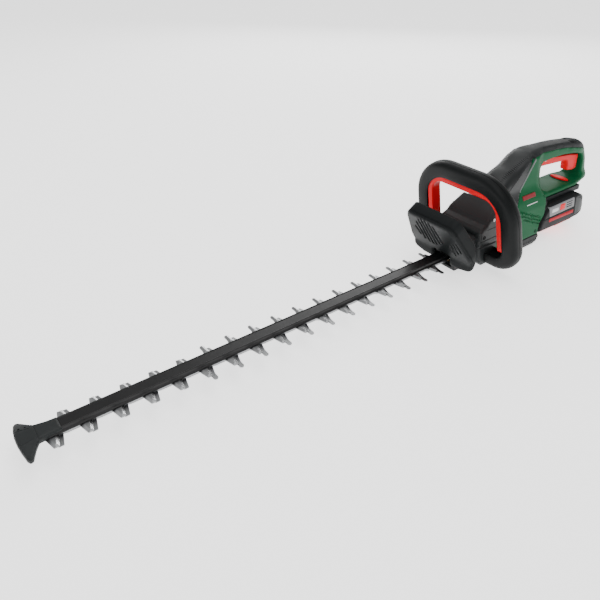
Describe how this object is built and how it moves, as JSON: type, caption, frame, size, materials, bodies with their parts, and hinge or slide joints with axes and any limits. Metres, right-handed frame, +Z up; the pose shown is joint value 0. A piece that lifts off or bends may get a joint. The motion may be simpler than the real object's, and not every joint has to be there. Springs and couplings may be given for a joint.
{
  "type": "cordless hedge trimmer",
  "caption": "Cordless hedge trimmer with a double-sided reciprocating blade bar, hoop front handle, slotted hand shield, rear D-handle and slide-on battery.",
  "frame": {"origin": "middle of the trimmer's footprint, at the height of the underside of the skid below the motor", "axes": "+X towards the blade tip, +Y to the operator's left, +Z up"},
  "size_m": [1.0972, 0.216, 0.183],
  "materials": {
    "body_green": "satin",
    "black_plastic": "matte",
    "dark_grey_plastic": "matte",
    "red_plastic": "semi-gloss",
    "silver_trim": "satin",
    "label_grey": "satin",
    "blade_steel": "ground",
    "screw_steel": "bright",
    "gear_steel": "machined",
    "bar_black": "satin",
    "cast_alloy": "cast",
    "case_paint": "satin",
    "bronze": "machined",
    "soft_grip": "matte",
    "board_green": "gloss",
    "terminal_brass": "polished",
    "cell_wrap": "gloss"
  },
  "bodies": {
    "housing": {"guide_bar": "bar_black", "blade_bolts": "screw_steel", "blade_washers": "screw_steel", "tip_guard": "black_plastic", "tip_guard_screw": "screw_steel", "hand_shield": "black_plastic", "shield_screws": "screw_steel", "gear_case": "case_paint", "bar_screws": "screw_steel", "bottom_plate": "case_paint", "plate_screws": "screw_steel", "housing_cover": "dark_grey_plastic", "crank_bush_upper": "bronze", "crank_bush_lower": "bronze", "idler_pin": "gear_steel", "transfer_pin": "gear_steel", "motor_can": "gear_steel", "motor_stator": "cast_alloy", "motor_plate": "cast_alloy", "motor_bearings": "gear_steel", "hoop_front_shell": "dark_grey_plastic", "hoop_rear_shell": "dark_grey_plastic", "hoop_screws": "screw_steel", "front_switch": "black_plastic", "left_shell": "body_green", "right_shell": "body_green", "body_screws": "screw_steel", "top_cover": "black_plastic", "grip_overmould": "soft_grip", "base_skid": "black_plastic", "accent_strips": "silver_trim", "side_badges": "red_plastic", "trigger_pin": "screw_steel", "trigger_spring": "screw_steel", "rear_switch": "black_plastic", "mode_button_spring": "screw_steel", "controller_board": "board_green", "controller_heat_sink": "cast_alloy", "battery_dock": "black_plastic", "dock_terminals": "terminal_brass"},
    "upper_blade": {"upper_blade": "blade_steel"},
    "lower_blade": {"lower_blade": "blade_steel"},
    "crank": {"crank_shaft": "gear_steel", "drive_gear": "gear_steel"},
    "idler": {"idler_pinion": "gear_steel", "idler_gear": "gear_steel"},
    "transfer": {"transfer_gear": "gear_steel"},
    "rotor": {"motor_pinion": "gear_steel", "motor_rotor": "gear_steel", "motor_shaft": "gear_steel", "motor_fan": "black_plastic"},
    "bail": {"bail": "red_plastic"},
    "trigger": {"trigger": "red_plastic"},
    "mode_button": {"mode_button": "red_plastic"},
    "battery": {"battery_tub": "dark_grey_plastic", "battery_lid": "dark_grey_plastic", "battery_bumper": "black_plastic", "battery_labels": "label_grey", "battery_cells": "cell_wrap"},
    "battery_latch": {"battery_latch": "red_plastic"}
  },
  "joints": [
    {"name": "upper_blade_slide", "type": "slide", "parent": "housing", "child": "upper_blade", "axis": [1, 0, 0], "range_m": [-0.0075, 0.0025]},
    {"name": "lower_blade_slide", "type": "slide", "parent": "housing", "child": "lower_blade", "axis": [1, 0, 0], "range_m": [-0.0025, 0.0075]},
    {"name": "crank_spin", "type": "hinge", "parent": "housing", "child": "crank", "pos_m": [-0.153, 0, 0.05], "axis": [0, 0, 1], "continuous": true},
    {"name": "idler_spin", "type": "hinge", "parent": "housing", "child": "idler", "pos_m": [-0.18, 0, 0.06], "axis": [0, 0, 1], "continuous": true},
    {"name": "transfer_spin", "type": "hinge", "parent": "housing", "child": "transfer", "pos_m": [-0.2245, 0, 0.06], "axis": [0, 0, 1], "continuous": true},
    {"name": "motor_spin", "type": "hinge", "parent": "housing", "child": "rotor", "pos_m": [-0.248, 0, 0.04], "axis": [0, 0, 1], "continuous": true},
    {"name": "bail_squeeze", "type": "slide", "parent": "housing", "child": "bail", "axis": [0.1925, 0, 0.9813], "range_m": [0, 0.003], "stiffness_N_per_m": 1500, "springref_m": -0.002},
    {"name": "trigger_pull", "type": "hinge", "parent": "housing", "child": "trigger", "pos_m": [-0.379, 0, 0.1475], "axis": [0, 1, 0], "range_deg": [0, 2.5], "stiffness_Nm_per_rad": 0.6, "springref_deg": -8.59, "deforming": ["trigger_spring"]},
    {"name": "mode_button_press", "type": "slide", "parent": "housing", "child": "mode_button", "axis": [0, 0, -1], "range_m": [0, 0.002], "stiffness_N_per_m": 300, "springref_m": -0.001, "deforming": ["mode_button_spring"]},
    {"name": "battery_slide", "type": "slide", "parent": "housing", "child": "battery", "axis": [-1, 0, 0], "range_m": [0, 0.12]},
    {"name": "battery_latch_press", "type": "slide", "parent": "battery", "child": "battery_latch", "axis": [0, 0, 1], "range_m": [0, 0.002], "stiffness_N_per_m": 400, "springref_m": -0.0015}
  ],
  "couplings": [
    {"joint": "lower_blade_slide", "follows": "upper_blade_slide", "ratio": -1},
    {"joint": "idler_spin", "follows": "crank_spin", "ratio": -2},
    {"joint": "transfer_spin", "follows": "crank_spin", "ratio": 4.1379},
    {"joint": "motor_spin", "follows": "crank_spin", "ratio": -6.6667}
  ]
}
